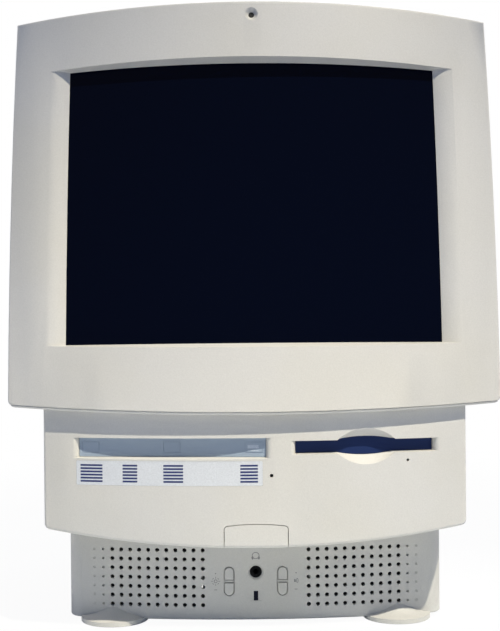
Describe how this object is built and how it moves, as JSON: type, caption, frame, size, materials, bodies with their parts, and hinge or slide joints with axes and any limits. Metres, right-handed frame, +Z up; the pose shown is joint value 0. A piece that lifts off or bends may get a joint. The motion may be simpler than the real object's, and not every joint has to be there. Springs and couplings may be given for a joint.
{
  "type": "vintage home computer",
  "caption": "All-in-one desktop computer with a picture tube in a leaning bezel, a drive fascia with two slots, and a speaker plinth with grilles and buttons.",
  "frame": {"origin": "bottom centre of the whole object, on the surface that it stands on", "axes": "+Z up, front towards -Y, +X to the right seen from the front"},
  "size_m": [0.3456, 0.4187, 0.4546],
  "materials": {
    "housing_plastic": "fine texture",
    "plinth_plastic": "fine texture",
    "picture_glass": "polished dark",
    "door_plastic": "satin",
    "flap_plastic": "satin",
    "label_foil": "brushed print",
    "steel_sheet": "galvanised",
    "aluminium": "rolled",
    "circuit_board": "solder mask",
    "component_body": "moulded epoxy",
    "winding": "varnished wire",
    "black_rubber": "matt",
    "black_plastic": "moulded",
    "jack_plastic": "moulded",
    "speaker_paper": "pressed paper"
  },
  "bodies": {
    "cabinet": {"display_bezel": "housing_plastic", "rear_housing": "housing_plastic", "drive_fascia": "housing_plastic", "name_tab": "housing_plastic", "speaker_plinth": "plinth_plastic", "base_casing": "plinth_plastic", "base_pan": "plinth_plastic", "picture_tube": "picture_glass", "label_plate": "label_foil", "tube_band": "steel_sheet", "tube_screws": "steel_sheet", "case_screws": "steel_sheet", "drive_cage": "steel_sheet", "power_supply": "steel_sheet", "speaker_mesh": "steel_sheet", "left_speaker_frame": "steel_sheet", "right_speaker_frame": "steel_sheet", "chassis_deck": "aluminium", "cd_drive": "aluminium", "floppy_drive": "aluminium", "hard_drive": "aluminium", "analog_board": "circuit_board", "neck_board": "circuit_board", "button_board": "circuit_board", "supply_board": "circuit_board", "analog_parts": "component_body", "flyback_transformer": "component_body", "neck_socket": "component_body", "deflection_yoke": "winding", "degauss_coil": "winding", "anode_cap": "black_rubber", "microphone": "black_rubber", "rubber_feet": "black_rubber", "fan_frame": "black_plastic", "power_inlet": "black_plastic", "switch_frame": "black_plastic", "power_lamp": "black_plastic", "headphone_jack": "jack_plastic", "left_speaker_cone": "speaker_paper", "right_speaker_cone": "speaker_paper"},
    "brightness_up": {"brightness_up_button": "plinth_plastic"},
    "brightness_down": {"brightness_down_button": "plinth_plastic"},
    "volume_up": {"volume_up_button": "plinth_plastic"},
    "volume_down": {"volume_down_button": "plinth_plastic"},
    "cd_door": {"cd_door": "door_plastic"},
    "floppy_flap": {"floppy_flap": "flap_plastic"},
    "power_rocker": {"power_rocker": "black_plastic"},
    "fan_rotor": {"fan_rotor": "black_plastic"},
    "cd_turntable": {"cd_turntable": "aluminium"},
    "floppy_hub": {"floppy_hub": "aluminium"},
    "board_tray": {"board_tray": "steel_sheet", "logic_board": "circuit_board", "board_chips": "component_body", "memory_module": "circuit_board", "clock_battery": "component_body", "rear_ports": "steel_sheet", "audio_jacks": "black_plastic"}
  },
  "joints": [
    {"name": "brightness_up_press", "type": "slide", "parent": "cabinet", "child": "brightness_up", "axis": [0, 1, 0], "range_m": [0, 0.001], "stiffness_N_per_m": 300},
    {"name": "brightness_down_press", "type": "slide", "parent": "cabinet", "child": "brightness_down", "axis": [0, 1, 0], "range_m": [0, 0.001], "stiffness_N_per_m": 300},
    {"name": "volume_up_press", "type": "slide", "parent": "cabinet", "child": "volume_up", "axis": [0, 1, 0], "range_m": [0, 0.001], "stiffness_N_per_m": 300},
    {"name": "volume_down_press", "type": "slide", "parent": "cabinet", "child": "volume_down", "axis": [0, 1, 0], "range_m": [0, 0.001], "stiffness_N_per_m": 300},
    {"name": "cd_door_hinge", "type": "hinge", "parent": "cabinet", "child": "cd_door", "pos_m": [-0.05757, -0.18867, 0.13625], "axis": [0.9943, -0.1068, 0], "range_deg": [0, 80], "stiffness_Nm_per_rad": 0.002, "springref_deg": -11.46},
    {"name": "floppy_flap_hinge", "type": "hinge", "parent": "cabinet", "child": "floppy_flap", "pos_m": [0.07538, -0.18646, 0.134], "axis": [0.9902, 0.1398, 0], "range_deg": [0, 75], "stiffness_Nm_per_rad": 0.0015, "springref_deg": -11.46},
    {"name": "power_switch", "type": "hinge", "parent": "cabinet", "child": "power_rocker", "pos_m": [0.044, 0.1965, 0.112], "axis": [-1, 0, 0], "range_deg": [0, 20]},
    {"name": "fan_spin", "type": "hinge", "parent": "cabinet", "child": "fan_rotor", "pos_m": [-0.045, 0.193, 0.222], "axis": [0, 1, 0], "continuous": true},
    {"name": "cd_spin", "type": "hinge", "parent": "cabinet", "child": "cd_turntable", "pos_m": [-0.0585, -0.0795, 0.1231], "axis": [0, 0, 1], "continuous": true},
    {"name": "floppy_spin", "type": "hinge", "parent": "cabinet", "child": "floppy_hub", "pos_m": [0.0766, -0.107, 0.1271], "axis": [0, 0, 1], "continuous": true},
    {"name": "tray_slide", "type": "slide", "parent": "cabinet", "child": "board_tray", "axis": [0, 1, 0], "range_m": [0, 0.18]}
  ]
}
